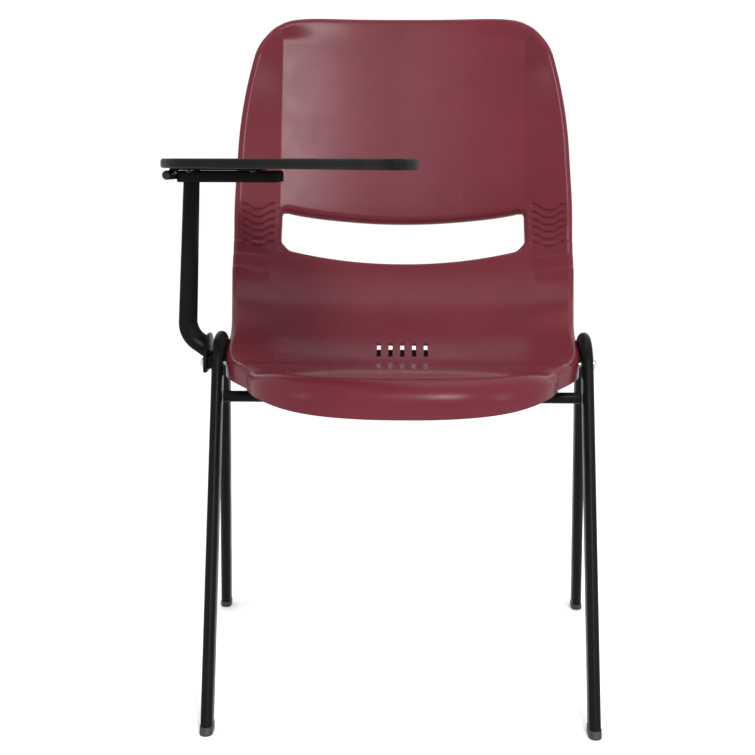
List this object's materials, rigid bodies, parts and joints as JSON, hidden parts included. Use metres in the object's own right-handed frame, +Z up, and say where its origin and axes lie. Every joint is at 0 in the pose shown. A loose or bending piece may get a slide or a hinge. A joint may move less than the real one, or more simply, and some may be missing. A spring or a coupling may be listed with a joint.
{
  "type": "student desk chair",
  "caption": "Moulded plastic shell chair on bent A-frame legs, with a flip-up writing tablet on a side arm.",
  "frame": {"origin": "bottom centre of the bounding box, on the floor under the chair", "axes": "+Z up, the sitter faces -Y, the tablet arm stands at -X on the sitter's right"},
  "size_m": [0.5838, 0.677, 0.8758],
  "materials": {
    "shell_plastic": "satin, fine texture",
    "frame_paint": "black powder coat",
    "tablet_plastic": "matt black",
    "glide_plastic": "matt black nylon",
    "zinc": "zinc plated"
  },
  "bodies": {
    "frame": {"seat_shell": "shell_plastic", "left_leg_frame": "frame_paint", "foot_glide_front_left": "glide_plastic", "foot_glide_rear_left": "glide_plastic", "right_leg_frame": "frame_paint", "foot_glide_front_right": "glide_plastic", "foot_glide_rear_right": "glide_plastic", "front_crossbar": "frame_paint", "rear_crossbar": "frame_paint", "shell_nut_front_left": "zinc", "shell_washer_front_left": "zinc", "shell_screw_front_left": "zinc", "arm_spacer_front": "frame_paint", "shell_nut_rear_left": "zinc", "shell_washer_rear_left": "zinc", "shell_screw_rear_left": "zinc", "arm_spacer_rear": "frame_paint", "shell_nut_front_right": "zinc", "shell_washer_front_right": "zinc", "shell_screw_front_right": "zinc", "shell_nut_rear_right": "zinc", "shell_washer_rear_right": "zinc", "shell_screw_rear_right": "zinc", "arm_plate": "frame_paint", "tablet_arm_tube": "frame_paint", "tablet_support_bar": "frame_paint", "hinge_knuckle_front": "frame_paint", "hinge_knuckle_rear": "frame_paint", "hinge_pin": "zinc", "hinge_pin_clip": "zinc"},
    "tablet": {"tablet_hinge_leaf": "frame_paint", "tablet_top": "tablet_plastic", "tablet_screw_1": "zinc", "tablet_screw_2": "zinc", "tablet_screw_3": "zinc", "tablet_screw_4": "zinc"}
  },
  "joints": [
    {"name": "tablet_flip", "type": "hinge", "parent": "frame", "child": "tablet", "pos_m": [-0.28279, 0.04741, 0.652], "axis": [0, -1, 0], "range_deg": [0, 95]}
  ]
}
